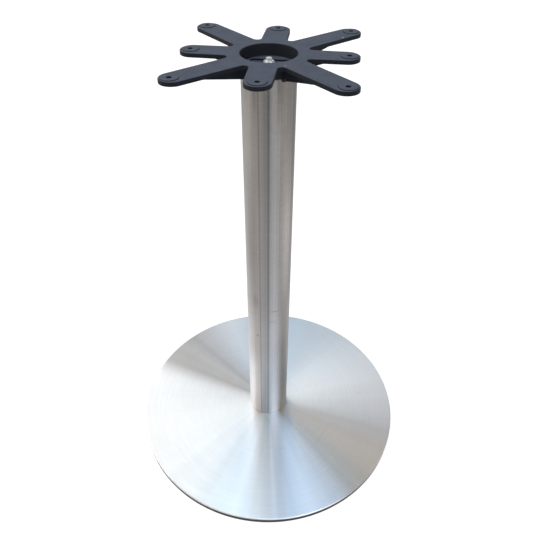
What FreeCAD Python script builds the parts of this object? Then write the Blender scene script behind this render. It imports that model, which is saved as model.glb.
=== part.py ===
import FreeCAD
import Part

import math
import os

# Pedestal table base: a round weighted foot, a tube column and a cast top bracket with eight
# arms, all pulled together by one tie rod inside the column.
# Millimetres, +Z up. The origin is the centre of the foot on the floor. The short arms point
# along X and Y, the long arms along the diagonals.

# Overall
TOTAL_HEIGHT = 744.0          # floor to the seats that carry the table top

# Column tube
COLUMN_DIAMETER = 76.0
COLUMN_WALL = 1.5
SPIGOT_CLEARANCE = 0.4        # radial gap between the tube's bore and what centres it

# Foot, from the floor up
DISC_DIAMETER = 520.0
RING_FOOT_THICKNESS = 2.0     # rubber under the weight plate
RING_FOOT_WIDTH = 16.0
RING_WALL = 3.6               # rubber round the weight plate's edge
RING_HEIGHT = 7.6
RING_INSET = 0.6              # the rubber stands this far inside the cover's edge
RING_GROOVE_RADIUS = 0.8
PLATE_THICKNESS = 8.8
PLATE_CLEARANCE = 0.3
PLATE_CHAMFER = 1.0
COVER_THICKNESS = 1.2
COVER_SHOULDER_RADIUS = 2.8
COVER_SKIRT_GAP = 0.3         # between the cover's lower edge and the rubber
COVER_HOLE_CLEARANCE = 0.6
COVER_MIDDLE_FALL = 0.25      # share of the dome's fall that is reached half way out

# Centring flange between the weight plate and the cover
FLANGE_THICKNESS = 4.0
FLANGE_SEAT_WIDTH = 16.0      # how far the flange reaches beyond the column
FLANGE_SPIGOT_HEIGHT = 14.0   # above the cover
FLANGE_SPIGOT_WALL = 5.0
FLANGE_BOSS_RADIUS = 11.0
FLANGE_LEAD_IN = 1.5

# Screws that hold the flange to the weight plate
SCREW_COUNT = 4
SCREW_CIRCLE_RADIUS = 21.0
SCREW_RADIUS = 3.0
SCREW_HEAD_RADIUS = 6.0
SCREW_CLEARANCE = 0.1
SCREW_END_GAP = 0.5
SCREW_SOCKET_FLATS = 4.0
SCREW_SOCKET_DEPTH = 2.0

# Tie rod, nuts and washer
ROD_RADIUS = 4.0
ROD_CLEARANCE = 0.1           # radial gap in tapped holes and nuts
ROD_CHAMFER = 0.8
ROD_STAND_OUT = 4.0           # above the top nut
NUT_FLATS = 13.0
NUT_HEIGHT = 6.5
NUT_CHAMFER_ANGLE = 30.0
LOCK_NUT_HEIGHT = 4.0
WASHER_RADIUS = 12.0
WASHER_THICKNESS = 1.6
WASHER_CLEARANCE = 0.4

# Top bracket, a casting
ARM_COUNT = 8                 # one at each corner and one at each side of the holes' square
HOLE_PITCH = 104.0            # the eight holes lie on a square with sides of twice this
ARM_THICKNESS = 5.4
ARM_ROOT_HALF_WIDTH = 18.5    # of the arm's sides carried back to the centre line
ARM_TAPER_ANGLE = 0.6
SHORT_ARM_TIP = 14.1          # from the hole's centre to the arm's end
LONG_ARM_TIP = 13.3
ARM_EDGE_RADIUS = 1.2
ROOT_RADIUS_FROM_CENTRE = 56.0
PAD_RADIUS = 11.9
PAD_RAISE = 0.8
PAD_EDGE_SLOPE = 0.7
SCREW_HOLE_RADIUS = 3.2
SCREW_HOLE_CHAMFER = 0.4
CUP_RADIUS = 37.8
CUP_DEPTH = 16.4
CUP_DRAFT = 2.0               # how much smaller the cup is at its floor
CUP_EDGE_RADIUS = 1.6
CUP_FLOOR_RADIUS = 2.5
RECESS_WIDTH = 46.0           # the straight-sided recess across the cup's floor
RECESS_DEPTH = 2.2
HUB_WALL = 6.2
HUB_DRAFT = 1.0
HUB_HEIGHT = 20.3             # from the arms' upper face to the seat on the tube's end
HUB_FLOOR = 4.8               # metal under the recess
ROD_HOLE_CLEARANCE = 0.8
SPIDER_SPIGOT_HEIGHT = 8.0
SPIDER_SPIGOT_WALL = 3.6
SPIDER_LEAD_IN = 1.2
WEB_HALF_THICKNESS = 3.8
WEB_EDGE_RADIUS = 1.2
WEB_ROOT_HALF_WIDTH = 10.0    # where a web flares out to meet the hub
LONG_WEB_SETBACK = 15.5       # a long web runs out this far before the hole
SHORT_WEB_SETBACK = 15.5
LUG_DROP = 5.3                # the long webs hang this far past the column's end
LUG_CLEARANCE = 0.3
LUG_SLOPE = 3.0               # each side of a lug leans in this much towards its bottom

# Places that follow from the sizes above
arm_step = 2 * math.pi / ARM_COUNT
column_radius = COLUMN_DIAMETER / 2
column_bore = column_radius - COLUMN_WALL
spigot_radius = column_bore - SPIGOT_CLEARANCE
disc_radius = DISC_DIAMETER / 2
ring_radius = disc_radius - RING_INSET
plate_radius = ring_radius - RING_WALL - PLATE_CLEARANCE
plate_bottom = RING_FOOT_THICKNESS
plate_top = plate_bottom + PLATE_THICKNESS
flange_top = plate_top + FLANGE_THICKNESS
cover_rim_top = plate_top + COVER_THICKNESS
cover_top = flange_top + COVER_THICKNESS
flange_radius = column_radius + FLANGE_SEAT_WIDTH
spigot_top = cover_top + FLANGE_SPIGOT_HEIGHT
spider_top = TOTAL_HEIGHT - PAD_RAISE
arm_bottom = spider_top - ARM_THICKNESS
arm_middle = spider_top - ARM_THICKNESS / 2
cup_floor = spider_top - CUP_DEPTH
recess_floor = cup_floor - RECESS_DEPTH
hub_bottom = recess_floor - HUB_FLOOR
hub_seat = spider_top - HUB_HEIGHT
hub_radius = column_radius + HUB_WALL
washer_top = recess_floor + WASHER_THICKNESS
nut_top = washer_top + NUT_HEIGHT
rod_top = nut_top + ROD_STAND_OUT

UP = FreeCAD.Vector(0, 0, 1)
CENTRE = FreeCAD.Vector(0, 0, 0)
CUT_MARGIN = 1.0              # how far a cutting tool runs past what it cuts
TINY = 1e-6                   # lengths below this count as none


def vec(x, y, z=0.0):
    return FreeCAD.Vector(x, y, z)


def revolved(path):
    """Turn a closed path in the XZ plane round the Z axis. A path is a list of points, and a
    tuple of a via point and an end point stands for an arc."""
    edges = []
    start = path[0]
    for step in path[1:] + [path[0]]:
        if isinstance(step, tuple):
            via, end = step
            edges.append(Part.Arc(start, via, end).toShape())
        else:
            end = step
            if start.distanceToPoint(end) > TINY:
                edges.append(Part.LineSegment(start, end).toShape())
        start = end
    return Part.Face(Part.Wire(edges)).revolve(CENTRE, UP, 360)


def arc_via(centre, radius, degrees):
    """The point of a round corner in the XZ plane at an angle from +X towards +Z."""
    angle = math.radians(degrees)
    return vec(centre.x + radius * math.cos(angle), 0, centre.z + radius * math.sin(angle))


def cylinder(radius, bottom, top, x=0.0, y=0.0):
    return Part.makeCylinder(radius, top - bottom, vec(x, y, bottom), UP)


def cone(bottom_radius, top_radius, bottom, top, x=0.0, y=0.0):
    return Part.makeCone(bottom_radius, top_radius, top - bottom, vec(x, y, bottom), UP)


def hexagon(flats, bottom, top, x=0.0, y=0.0):
    """A hexagonal prism with its flats across Y."""
    corner_radius = flats / math.sqrt(3)
    corners = [
        vec(x + corner_radius * math.cos(math.radians(60 * k)),
            y + corner_radius * math.sin(math.radians(60 * k)), bottom)
        for k in range(6)
    ]
    face = Part.Face(Part.makePolygon(corners + corners[:1]))
    return face.extrude(vec(0, 0, top - bottom))


def hex_nut(flats, bottom, top, bore_radius):
    """A plain nut, with its corners chamfered at both faces."""
    corner_radius = flats / math.sqrt(3)
    drop = (corner_radius - flats / 2) * math.tan(math.radians(NUT_CHAMFER_ANGLE))
    envelope = revolved([
        vec(0, 0, bottom),
        vec(flats / 2, 0, bottom),
        vec(corner_radius, 0, bottom + drop),
        vec(corner_radius, 0, top - drop),
        vec(flats / 2, 0, top),
        vec(0, 0, top),
    ])
    body = hexagon(flats, bottom, top).common(envelope)
    return body.cut(cylinder(bore_radius, bottom - CUT_MARGIN, top + CUT_MARGIN))


def edge_ring():
    """The rubber ring that the weight plate sits in. It is what meets the floor."""
    inner = plate_radius + PLATE_CLEARANCE
    groove = vec(ring_radius, 0, RING_FOOT_THICKNESS + RING_GROOVE_RADIUS)
    return revolved([
        vec(inner - RING_FOOT_WIDTH, 0, 0),
        vec(ring_radius, 0, 0),
        vec(ring_radius, 0, groove.z - RING_GROOVE_RADIUS),
        (vec(ring_radius - RING_GROOVE_RADIUS, 0, groove.z),
         vec(ring_radius, 0, groove.z + RING_GROOVE_RADIUS)),
        vec(ring_radius, 0, RING_HEIGHT),
        vec(inner, 0, RING_HEIGHT),
        vec(inner, 0, RING_FOOT_THICKNESS),
        vec(inner - RING_FOOT_WIDTH, 0, RING_FOOT_THICKNESS),
    ])


def screw_places():
    for k in range(SCREW_COUNT):
        angle = 2 * math.pi * (k + 0.5) / SCREW_COUNT
        yield SCREW_CIRCLE_RADIUS * math.cos(angle), SCREW_CIRCLE_RADIUS * math.sin(angle)


def countersunk_shape(radius, head_radius, x, y, top):
    """A countersunk screw's outline: its head is flush with the weight plate's underside."""
    head_height = head_radius - radius
    head = cone(head_radius, radius, plate_bottom, plate_bottom + head_height, x, y)
    return head.fuse(cylinder(radius, plate_bottom, top, x, y))


def weight_plate():
    """The flat disc that gives the foot its weight."""
    disc = revolved([
        vec(0, 0, plate_bottom),
        vec(plate_radius - PLATE_CHAMFER, 0, plate_bottom),
        vec(plate_radius, 0, plate_bottom + PLATE_CHAMFER),
        vec(plate_radius, 0, plate_top - PLATE_CHAMFER),
        vec(plate_radius - PLATE_CHAMFER, 0, plate_top),
        vec(0, 0, plate_top),
    ])
    for x, y in screw_places():
        disc = disc.cut(countersunk_shape(
            SCREW_RADIUS + SCREW_CLEARANCE, SCREW_HEAD_RADIUS + SCREW_CLEARANCE,
            x, y, plate_top + CUT_MARGIN))
    return disc


def flange_screws():
    """The countersunk screws, one solid each."""
    screws = []
    for x, y in screw_places():
        screw = countersunk_shape(
            SCREW_RADIUS, SCREW_HEAD_RADIUS, x, y, flange_top - SCREW_END_GAP).removeSplitter()
        socket = hexagon(SCREW_SOCKET_FLATS, plate_bottom - CUT_MARGIN,
                         plate_bottom + SCREW_SOCKET_DEPTH, x, y)
        screws.append(screw.cut(socket))
    return Part.makeCompound(screws)


def centring_flange():
    """The turned flange under the cover: its spigot centres the column and its boss is
    tapped for the tie rod."""
    inner = spigot_radius - FLANGE_SPIGOT_WALL
    bore = ROD_RADIUS + ROD_CLEARANCE
    body = revolved([
        vec(bore, 0, plate_top),
        vec(flange_radius, 0, plate_top),
        vec(flange_radius, 0, flange_top),
        vec(spigot_radius, 0, flange_top),
        vec(spigot_radius, 0, spigot_top - FLANGE_LEAD_IN),
        vec(spigot_radius - FLANGE_LEAD_IN, 0, spigot_top),
        vec(inner, 0, spigot_top),
        vec(inner, 0, flange_top),
        vec(FLANGE_BOSS_RADIUS, 0, flange_top),
        vec(FLANGE_BOSS_RADIUS, 0, spigot_top),
        vec(bore, 0, spigot_top),
    ])
    for x, y in screw_places():
        body = body.cut(cylinder(
            SCREW_RADIUS + SCREW_CLEARANCE, plate_top - CUT_MARGIN, flange_top + CUT_MARGIN, x, y))
    return body


def base_cover():
    """The brushed steel cover: a shallow dome with a rolled edge and a short skirt."""
    t = COVER_THICKNESS
    hole = spigot_radius + COVER_HOLE_CLEARANCE
    edge = disc_radius - COVER_SHOULDER_RADIUS
    corner = vec(edge, 0, cover_rim_top - COVER_SHOULDER_RADIUS)
    skirt_bottom = RING_HEIGHT + COVER_SKIRT_GAP
    rise = cover_top - cover_rim_top
    middle = (flange_radius + edge) / 2
    dome_via = vec(middle, 0, cover_top - COVER_MIDDLE_FALL * rise)
    under_via = vec(middle, 0, dome_via.z - t)
    return revolved([
        vec(hole, 0, cover_top),
        vec(flange_radius, 0, cover_top),
        (dome_via, vec(edge, 0, cover_rim_top)),
        (arc_via(corner, COVER_SHOULDER_RADIUS, 45), vec(disc_radius, 0, corner.z)),
        vec(disc_radius, 0, skirt_bottom),
        vec(disc_radius - t, 0, skirt_bottom),
        vec(disc_radius - t, 0, corner.z),
        (arc_via(corner, COVER_SHOULDER_RADIUS - t, 45), vec(edge, 0, plate_top)),
        (under_via, vec(flange_radius, 0, flange_top)),
        vec(hole, 0, flange_top),
    ])


def column():
    """The tube, clamped between the cover and the top bracket's hub."""
    tube = cylinder(column_radius, cover_top, hub_seat)
    return tube.cut(cylinder(column_bore, cover_top - CUT_MARGIN, hub_seat + CUT_MARGIN))


def tie_rod():
    """The threaded rod, given as its outside diameter, with chamfered ends."""
    return revolved([
        vec(0, 0, plate_top),
        vec(ROD_RADIUS - ROD_CHAMFER, 0, plate_top),
        vec(ROD_RADIUS, 0, plate_top + ROD_CHAMFER),
        vec(ROD_RADIUS, 0, rod_top - ROD_CHAMFER),
        vec(ROD_RADIUS - ROD_CHAMFER, 0, rod_top),
        vec(0, 0, rod_top),
    ])


def top_washer():
    disc = cylinder(WASHER_RADIUS, recess_floor, washer_top)
    return disc.cut(cylinder(
        ROD_RADIUS + WASHER_CLEARANCE, recess_floor - CUT_MARGIN, washer_top + CUT_MARGIN))


def top_nut():
    return hex_nut(NUT_FLATS, washer_top, nut_top, ROD_RADIUS + ROD_CLEARANCE)


def rod_lock_nut():
    """The thin nut that locks the rod to the flange's boss."""
    return hex_nut(
        NUT_FLATS, spigot_top, spigot_top + LOCK_NUT_HEIGHT, ROD_RADIUS + ROD_CLEARANCE)


def is_long(k):
    """Whether an arm points at a corner of the holes' square."""
    return k % 2 == 1


def hole_distance(k):
    """Distance of an arm's hole from the axis."""
    return HOLE_PITCH * (math.sqrt(2) if is_long(k) else 1)


def turned(x, y, angle):
    """A point turned about the axis, in the XY plane."""
    c, s = math.cos(angle), math.sin(angle)
    return vec(x * c - y * s, x * s + y * c)


def arm_outline():
    """The bracket's outline. Each arm has two slightly tapering sides and a round end, and
    one round root joins it to the next arm."""
    taper = math.radians(ARM_TAPER_ANGLE)
    share = math.sin(arm_step / 2 + taper)
    root_radius = (ROOT_RADIUS_FROM_CENTRE * share - ARM_ROOT_HALF_WIDTH) / (1 - share)
    root_distance = ROOT_RADIUS_FROM_CENTRE + root_radius
    root_x = root_distance * math.cos(arm_step / 2) - root_radius * math.sin(taper)
    root_y = root_distance * math.sin(arm_step / 2) - root_radius * math.cos(taper)
    edges = []
    for k in range(ARM_COUNT):
        angle = k * arm_step
        tip = hole_distance(k) + (LONG_ARM_TIP if is_long(k) else SHORT_ARM_TIP)
        end_radius = (ARM_ROOT_HALF_WIDTH - tip * math.sin(taper)) / (1 - math.sin(taper))
        side_x = tip - end_radius * (1 - math.sin(taper))
        side_y = end_radius * math.cos(taper)
        low_root = turned(root_x, -root_y, angle)
        low_side = turned(side_x, -side_y, angle)
        high_side = turned(side_x, side_y, angle)
        high_root = turned(root_x, root_y, angle)
        next_root = turned(root_x, -root_y, angle + arm_step)
        edges.append(Part.LineSegment(low_root, low_side).toShape())
        edges.append(Part.Arc(low_side, turned(tip, 0, angle), high_side).toShape())
        edges.append(Part.LineSegment(high_side, high_root).toShape())
        between = turned(ROOT_RADIUS_FROM_CENTRE, 0, angle + arm_step / 2)
        edges.append(Part.Arc(high_root, between, next_root).toShape())
    return Part.Wire(edges)


def arm_plate():
    """The star of arms as a flat plate, its upper edge rounded all the way round."""
    plate = Part.Face(arm_outline()).extrude(vec(0, 0, ARM_THICKNESS))
    plate.translate(vec(0, 0, arm_bottom))
    top_edges = [e for e in plate.Edges if e.BoundBox.ZMin > spider_top - TINY]
    return plate.makeFillet(ARM_EDGE_RADIUS, top_edges)


def web(outer, drop):
    """One stiffening web along +X, its lower edges rounded. It gets shallower from the hub
    to where it runs out under the arm. Its inner end stands off the column, and hangs past
    the seat on the column's end by the drop."""
    inner = column_radius + LUG_CLEARANCE
    corners = [
        vec(inner, -WEB_HALF_THICKNESS, arm_middle),
        vec(inner, -WEB_HALF_THICKNESS, hub_seat - drop),
        vec(outer, -WEB_HALF_THICKNESS, arm_bottom),
        vec(outer, -WEB_HALF_THICKNESS, arm_middle),
    ]
    face = Part.Face(Part.makePolygon(corners + corners[:1]))
    block = face.extrude(vec(0, 2 * WEB_HALF_THICKNESS, 0))
    lower = []
    for edge in block.Edges:
        direction = edge.tangentAt(edge.FirstParameter)
        if abs(direction.x) > TINY and abs(direction.z) > TINY:
            lower.append(edge)
    return block.makeFillet(WEB_EDGE_RADIUS, lower)


def web_root():
    """The flare in plan where a web meets the hub, as high as the hub."""
    flare = WEB_ROOT_HALF_WIDTH - WEB_HALF_THICKNESS
    start = hub_radius - HUB_DRAFT - flare
    end = hub_radius + flare
    swing = flare * (1 - math.sqrt(0.5))
    wide, narrow = WEB_ROOT_HALF_WIDTH, WEB_HALF_THICKNESS
    edges = [
        Part.LineSegment(vec(start, -wide), vec(hub_radius, -wide)).toShape(),
        Part.Arc(vec(hub_radius, -wide), vec(hub_radius + swing, -narrow - swing),
                 vec(end, -narrow)).toShape(),
        Part.LineSegment(vec(end, -narrow), vec(end, narrow)).toShape(),
        Part.Arc(vec(end, narrow), vec(hub_radius + swing, narrow + swing),
                 vec(hub_radius, wide)).toShape(),
        Part.LineSegment(vec(hub_radius, wide), vec(start, wide)).toShape(),
        Part.LineSegment(vec(start, wide), vec(start, -wide)).toShape(),
    ]
    flare_plan = Part.Face(Part.Wire(edges)).extrude(vec(0, 0, arm_middle - hub_seat))
    flare_plan.translate(vec(0, 0, hub_seat))
    return flare_plan


def section(inner, outer, half_width, height):
    """A rectangle at a height, as a closed wire."""
    corners = [
        vec(inner, -half_width, height),
        vec(outer, -half_width, height),
        vec(outer, half_width, height),
        vec(inner, half_width, height),
    ]
    return Part.makePolygon(corners + corners[:1])


def lug(drop):
    """The part of a web's root that hangs beside the column's end, with sides that lean in.
    The column's own curve trims its inner face."""
    inner = column_radius * math.cos(math.asin(WEB_ROOT_HALF_WIDTH / column_radius)) - CUT_MARGIN
    outer = hub_radius - HUB_DRAFT
    lower = hub_seat - drop
    block = Part.makeLoft([
        section(inner, outer, WEB_ROOT_HALF_WIDTH, hub_seat),
        section(inner, outer - LUG_SLOPE, WEB_ROOT_HALF_WIDTH - LUG_SLOPE, lower),
    ], True)
    return block.cut(cylinder(
        column_radius + LUG_CLEARANCE, lower - CUT_MARGIN, hub_seat))


def hub():
    """The hub under the star: it stands on the tube's end, and its spigot enters the tube."""
    inner = spigot_radius - SPIDER_SPIGOT_WALL
    spigot_bottom = hub_seat - SPIDER_SPIGOT_HEIGHT
    return revolved([
        vec(0, 0, hub_bottom),
        vec(inner, 0, hub_bottom),
        vec(inner, 0, spigot_bottom),
        vec(spigot_radius - SPIDER_LEAD_IN, 0, spigot_bottom),
        vec(spigot_radius, 0, spigot_bottom + SPIDER_LEAD_IN),
        vec(spigot_radius, 0, hub_seat),
        vec(hub_radius - HUB_DRAFT, 0, hub_seat),
        vec(hub_radius, 0, arm_middle),
        vec(0, 0, arm_middle),
    ])


def cup_space():
    """What the cup takes out of the hub: rounded at the mouth and at the floor, drafted
    between them."""
    mouth = CUP_RADIUS + CUP_EDGE_RADIUS
    floor_edge = CUP_RADIUS - CUP_DRAFT
    lip = vec(mouth, 0, spider_top - CUP_EDGE_RADIUS)
    foot = vec(floor_edge - CUP_FLOOR_RADIUS, 0, cup_floor + CUP_FLOOR_RADIUS)
    return revolved([
        vec(0, 0, cup_floor),
        vec(foot.x, 0, cup_floor),
        (arc_via(foot, CUP_FLOOR_RADIUS, -45), vec(floor_edge, 0, foot.z)),
        vec(CUP_RADIUS, 0, lip.z),
        (arc_via(lip, CUP_EDGE_RADIUS, 135), vec(mouth, 0, spider_top)),
        vec(mouth, 0, spider_top + CUT_MARGIN),
        vec(0, 0, spider_top + CUT_MARGIN),
    ])


def recess_space():
    """The straight-sided recess across the cup's floor, where the washer sits."""
    reach = CUP_RADIUS - CUP_DRAFT - CUP_FLOOR_RADIUS
    top = cup_floor + CUT_MARGIN
    strip = Part.makeBox(2 * reach, RECESS_WIDTH, top - recess_floor,
                         vec(-reach, -RECESS_WIDTH / 2, recess_floor))
    return strip.common(cylinder(reach, recess_floor, top))


def arm_pad(k):
    """The raised seat round an arm's hole."""
    place = turned(hole_distance(k), 0, k * arm_step)
    foot = cylinder(PAD_RADIUS, arm_middle, spider_top, place.x, place.y)
    raised = cone(PAD_RADIUS, PAD_RADIUS - PAD_EDGE_SLOPE, spider_top, TOTAL_HEIGHT,
                  place.x, place.y)
    return foot.fuse(raised)


def arm_hole(k):
    """A hole for a screw into the table top, its upper edge broken."""
    place = turned(hole_distance(k), 0, k * arm_step)
    through = cylinder(SCREW_HOLE_RADIUS, arm_bottom - CUT_MARGIN, TOTAL_HEIGHT + CUT_MARGIN,
                       place.x, place.y)
    edge = cone(SCREW_HOLE_RADIUS, SCREW_HOLE_RADIUS + SCREW_HOLE_CHAMFER,
                TOTAL_HEIGHT - SCREW_HOLE_CHAMFER, TOTAL_HEIGHT, place.x, place.y)
    return through.fuse(edge)


def top_spider():
    """The cast top bracket: eight arms with webs, screw seats, the hub and its cup."""
    parts = [arm_plate(), hub()]
    for k in range(ARM_COUNT):
        if is_long(k):
            stiffener = [web(hole_distance(k) - LONG_WEB_SETBACK, LUG_DROP), lug(LUG_DROP)]
        else:
            stiffener = [web(hole_distance(k) - SHORT_WEB_SETBACK, 0.0)]
        stiffener.append(web_root())
        for solid in stiffener:
            solid.rotate(CENTRE, UP, math.degrees(k * arm_step))
        parts += stiffener
        parts.append(arm_pad(k))
    rod_hole = cylinder(ROD_RADIUS + ROD_HOLE_CLEARANCE, hub_bottom - CUT_MARGIN,
                        recess_floor + CUT_MARGIN)
    cuts = [cup_space(), recess_space(), rod_hole]
    cuts += [arm_hole(k) for k in range(ARM_COUNT)]
    return parts[0].fuse(parts[1:]).cut(cuts).removeSplitter()


PIECES = [
    edge_ring, weight_plate, flange_screws, centring_flange, base_cover, column, tie_rod,
    rod_lock_nut, top_spider, top_washer, top_nut,
]


def main():
    os.makedirs("parts", exist_ok=True)
    for make in PIECES:
        shape = make()
        name = make.__name__
        shape.exportStep(os.path.join("parts", name + ".step"))
        print(name, "valid" if shape.isValid() else "NOT VALID", len(shape.Solids),
              "solid(s)", round(shape.Volume / 1000, 1), "cm3")


main()
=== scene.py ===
"""Looks of a pedestal table base: a brushed steel foot and column under a cast bracket.

Metres, +Z up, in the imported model's frame: the origin is the centre of the foot on the floor,
and the bracket's short arms point along X and Y.
"""

import logging
import math
from dataclasses import dataclass
from enum import Enum

import bpy
from mathutils import Matrix, Vector

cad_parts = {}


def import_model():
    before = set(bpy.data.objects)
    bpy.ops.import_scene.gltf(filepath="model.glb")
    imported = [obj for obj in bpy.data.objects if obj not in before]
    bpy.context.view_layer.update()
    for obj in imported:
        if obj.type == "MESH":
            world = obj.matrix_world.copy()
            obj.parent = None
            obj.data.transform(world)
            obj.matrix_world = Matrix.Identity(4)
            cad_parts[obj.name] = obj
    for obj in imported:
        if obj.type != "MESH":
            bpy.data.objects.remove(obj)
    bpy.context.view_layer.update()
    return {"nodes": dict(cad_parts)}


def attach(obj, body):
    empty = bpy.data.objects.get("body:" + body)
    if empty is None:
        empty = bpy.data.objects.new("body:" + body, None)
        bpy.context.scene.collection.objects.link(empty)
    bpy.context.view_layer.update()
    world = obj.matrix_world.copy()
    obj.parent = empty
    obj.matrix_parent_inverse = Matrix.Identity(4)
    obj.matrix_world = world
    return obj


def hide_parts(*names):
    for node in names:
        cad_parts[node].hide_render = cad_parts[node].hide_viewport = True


MM = 0.001
PHOTO_SIZE = 540            # the photograph's width and height in pixels
SENSOR_WIDTH = 36.0
NEAR = 1e-6                 # two places this near are the same
PLACE_DIGITS = 7            # to which a ring's place is rounded before it is compared
NOISE_LOW = 0.3             # nearly all of a noise pattern lies between these two marks
NOISE_HIGH = 0.7
FLAT = (1, 1, 0)            # keeps what lies across the axis
WINDOW_HORIZON = 0.02       # how far round a window's light can reach, as a cosine

log = logging.getLogger("table_base")


class GrainRun(Enum):
    """Which way a brushed surface is seen to change from line to line."""

    OUTWARD = "outward"     # rings on a disc
    UPWARD = "upward"       # rings on a tube


# ---------------------------------------------------------------- mesh tools


def deselect_all() -> None:
    """Leave nothing selected and no object active."""
    if bpy.context.mode != "OBJECT":
        bpy.ops.object.mode_set(mode="OBJECT")
    bpy.ops.object.select_all(action="DESELECT")
    bpy.context.view_layer.objects.active = None


def make_active(piece: bpy.types.Object) -> None:
    """Select one object alone and make it active.

    Args:
        piece: The object to work on.
    """
    deselect_all()
    piece.select_set(True)
    bpy.context.view_layer.objects.active = piece


def apply_place(piece: bpy.types.Object) -> None:
    """Put an object's place into its mesh, so that the object sits at the origin.

    Args:
        piece: The object to settle.
    """
    make_active(piece)
    bpy.ops.object.transform_apply(location=True, rotation=True, scale=True)


def apply_modifier(piece: bpy.types.Object, kind: str, **settings: object) -> None:
    """Add a modifier, set it and apply it.

    Args:
        piece: The object that gets it.
        kind: Blender's name for the kind of modifier.
        **settings: The modifier's own settings.
    """
    make_active(piece)
    modifier = piece.modifiers.new(kind.title(), kind)
    for key, value in settings.items():
        setattr(modifier, key, value)
    bpy.ops.object.modifier_apply(modifier=modifier.name)


def select_loop(piece: bpy.types.Object, radius: float, height: float) -> None:
    """Select the edges of one ring of a turned piece, by its place.

    Args:
        piece: The turned piece, in edit mode.
        radius: The ring's radius.
        height: The ring's height.
    """
    bpy.ops.mesh.select_all(action="DESELECT")
    bpy.ops.object.mode_set(mode="OBJECT")
    mesh = piece.data
    on_ring = [
        abs(math.hypot(v.co.x, v.co.y) - radius) < NEAR and abs(v.co.z - height) < NEAR
        for v in mesh.vertices
    ]
    for edge in mesh.edges:
        edge.select = all(on_ring[i] for i in edge.vertices)
    bpy.ops.object.mode_set(mode="EDIT")
    bpy.ops.mesh.select_mode(type="EDGE")


def face_outwards(piece: bpy.types.Object) -> None:
    """Make the faces of a closed shell point outwards, and leave edit mode. On a thin sheet
    the recalculation can settle on the wrong side, so the volume inside decides.

    Args:
        piece: The closed piece, in edit mode with all of it selected.
    """
    bpy.ops.mesh.normals_make_consistent(inside=False)
    bpy.ops.object.mode_set(mode="OBJECT")
    if sum(face.center.dot(face.normal) * face.area for face in piece.data.polygons) < 0:
        bpy.ops.object.mode_set(mode="EDIT")
        bpy.ops.mesh.flip_normals()
        bpy.ops.object.mode_set(mode="OBJECT")


@dataclass(frozen=True)
class Corner:
    """A corner of a turned outline, with the radius that rounds it."""

    radius: float
    height: float
    rounding: float = 0.0
    steps: int = 3


@dataclass(frozen=True)
class Lathe:
    """Turns closed outlines round the Z axis, from a circle that is extruded ring by ring."""

    segments: int = 256
    sharp_angle: float = 30.0

    def turn(self, name: str, outline: list[Corner]) -> bpy.types.Object:
        """Turn a closed outline into a shell.

        Args:
            name: The new piece's name.
            outline: The corners in order round the outline, none of them on the axis.

        Returns:
            The piece, smooth but for its sharp corners.
        """
        deselect_all()
        first = outline[0]
        bpy.ops.mesh.primitive_circle_add(
            vertices=self.segments, radius=first.radius, location=(0, 0, first.height))
        piece = bpy.context.active_object
        piece.name = name
        apply_place(piece)
        bpy.ops.object.mode_set(mode="EDIT")
        bpy.ops.mesh.select_mode(type="EDGE")
        bpy.ops.mesh.select_all(action="SELECT")
        last = first
        for corner in outline[1:]:
            bpy.ops.mesh.extrude_edges_move(
                TRANSFORM_OT_translate={"value": (0, 0, corner.height - last.height)})
            ratio = corner.radius / last.radius
            bpy.ops.transform.resize(
                value=(ratio, ratio, 1), center_override=(0, 0, corner.height))
            last = corner
        self.close(piece, first, last)
        for corner in outline:
            if corner.rounding:
                select_loop(piece, corner.radius, corner.height)
                bpy.ops.mesh.bevel(offset=corner.rounding, segments=corner.steps,
                                   affect="EDGES", profile=0.5)
        bpy.ops.mesh.select_all(action="SELECT")
        bpy.ops.mesh.remove_doubles(threshold=NEAR)
        face_outwards(piece)
        smooth(piece, self.sharp_angle)
        return piece

    def close(self, piece: bpy.types.Object, first: Corner, last: Corner) -> None:
        """Join the last ring of an outline to the first.

        Args:
            piece: The turned piece, in edit mode.
            first: The outline's first corner.
            last: The outline's last corner.
        """
        bpy.ops.mesh.select_all(action="DESELECT")
        bpy.ops.object.mode_set(mode="OBJECT")
        mesh = piece.data
        ends = {(round(c.radius, PLACE_DIGITS), round(c.height, PLACE_DIGITS))
                for c in (first, last)}
        rings = [(round(math.hypot(v.co.x, v.co.y), PLACE_DIGITS), round(v.co.z, PLACE_DIGITS))
                 for v in mesh.vertices]
        for edge in mesh.edges:
            a, b = (rings[i] for i in edge.vertices)
            edge.select = any(
                all(abs(p[0] - e[0]) < NEAR and abs(p[1] - e[1]) < NEAR for p in (a, b))
                for e in ends)
        bpy.ops.object.mode_set(mode="EDIT")
        bpy.ops.mesh.select_mode(type="EDGE")
        bpy.ops.mesh.bridge_edge_loops()


def smooth(piece: bpy.types.Object, sharp_angle: float) -> None:
    """Shade a piece smooth, keep its sharp corners, and hold its flat faces flat.

    Args:
        piece: The piece to shade.
        sharp_angle: Corners sharper than this stay sharp, in degrees.
    """
    make_active(piece)
    bpy.ops.object.shade_smooth_by_angle(angle=math.radians(sharp_angle))
    apply_modifier(piece, "WEIGHTED_NORMAL", keep_sharp=True, weight=50)


# ---------------------------------------------------------------- finishes


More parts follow.
